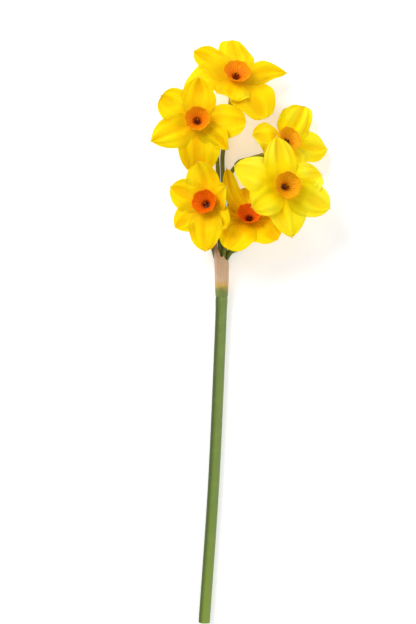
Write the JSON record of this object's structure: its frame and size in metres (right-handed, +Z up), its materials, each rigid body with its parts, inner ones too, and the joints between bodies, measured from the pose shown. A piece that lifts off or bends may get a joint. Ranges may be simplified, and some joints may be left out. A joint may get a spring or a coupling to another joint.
{
  "type": "daffodil flower stem",
  "caption": "Cut flowering stem of a many-headed yellow daffodil, lying down, with orange-cupped florets on curved pedicels above a papery spathe.",
  "frame": {"origin": "middle of the footprint, on the surface that the stem lies on", "axes": "+Y along the stem from its cut end to the flowers, +Z up, the way the flowers face"},
  "size_m": [0.091, 0.3002, 0.0396],
  "materials": {
    "stem_green": "fresh green stem with fine lengthwise ribs and a pale waxy bloom",
    "papery_spathe": "dry tan papery sheath with fine lengthwise veins, green at its foot",
    "pedicel_olive": "fresh olive-green stalk and ovary, turning yellow along the flower tube",
    "tepal_yellow": "soft golden yellow petal with fine lengthwise veins and a satin sheen",
    "tepal_lemon": "soft lemon yellow petal with fine lengthwise veins and a satin sheen",
    "corona_orange": "deep orange cup with radial streaks and a frilled rim",
    "corona_apricot": "light orange cup with redder radial streaks and a frilled rim",
    "corona_amber": "pale orange cup with radial streaks and an orange rim",
    "stamens": "brown-orange pollen-dusted anthers"
  },
  "bodies": {
    "root": {"stem": "stem_green", "spathe": "papery_spathe", "pedicel_top": "pedicel_olive", "tepal_top_1": "tepal_yellow", "tepal_top_2": "tepal_yellow", "tepal_top_3": "tepal_yellow", "tepal_top_4": "tepal_yellow", "tepal_top_5": "tepal_yellow", "tepal_top_6": "tepal_yellow", "corona_top": "corona_apricot", "stamens_top": "stamens", "pedicel_upper_left": "pedicel_olive", "tepal_upper_left_1": "tepal_yellow", "tepal_upper_left_2": "tepal_yellow", "tepal_upper_left_3": "tepal_yellow", "tepal_upper_left_4": "tepal_yellow", "tepal_upper_left_5": "tepal_yellow", "tepal_upper_left_6": "tepal_yellow", "corona_upper_left": "corona_apricot", "stamens_upper_left": "stamens", "pedicel_upper_right": "pedicel_olive", "tepal_upper_right_1": "tepal_lemon", "tepal_upper_right_2": "tepal_lemon", "tepal_upper_right_3": "tepal_lemon", "tepal_upper_right_4": "tepal_lemon", "tepal_upper_right_5": "tepal_lemon", "tepal_upper_right_6": "tepal_lemon", "corona_upper_right": "corona_amber", "stamens_upper_right": "stamens", "pedicel_right": "pedicel_olive", "tepal_right_1": "tepal_lemon", "tepal_right_2": "tepal_lemon", "tepal_right_3": "tepal_lemon", "tepal_right_4": "tepal_lemon", "tepal_right_5": "tepal_lemon", "tepal_right_6": "tepal_lemon", "corona_right": "corona_amber", "stamens_right": "stamens", "pedicel_middle_left": "pedicel_olive", "tepal_middle_left_1": "tepal_yellow", "tepal_middle_left_2": "tepal_yellow", "tepal_middle_left_3": "tepal_yellow", "tepal_middle_left_4": "tepal_yellow", "tepal_middle_left_5": "tepal_yellow", "tepal_middle_left_6": "tepal_yellow", "corona_middle_left": "corona_orange", "stamens_middle_left": "stamens", "pedicel_middle_right": "pedicel_olive", "tepal_middle_right_1": "tepal_yellow", "tepal_middle_right_2": "tepal_yellow", "tepal_middle_right_3": "tepal_yellow", "tepal_middle_right_4": "tepal_yellow", "tepal_middle_right_5": "tepal_yellow", "tepal_middle_right_6": "tepal_yellow", "corona_middle_right": "corona_orange", "stamens_middle_right": "stamens"}
  },
  "joints": []
}
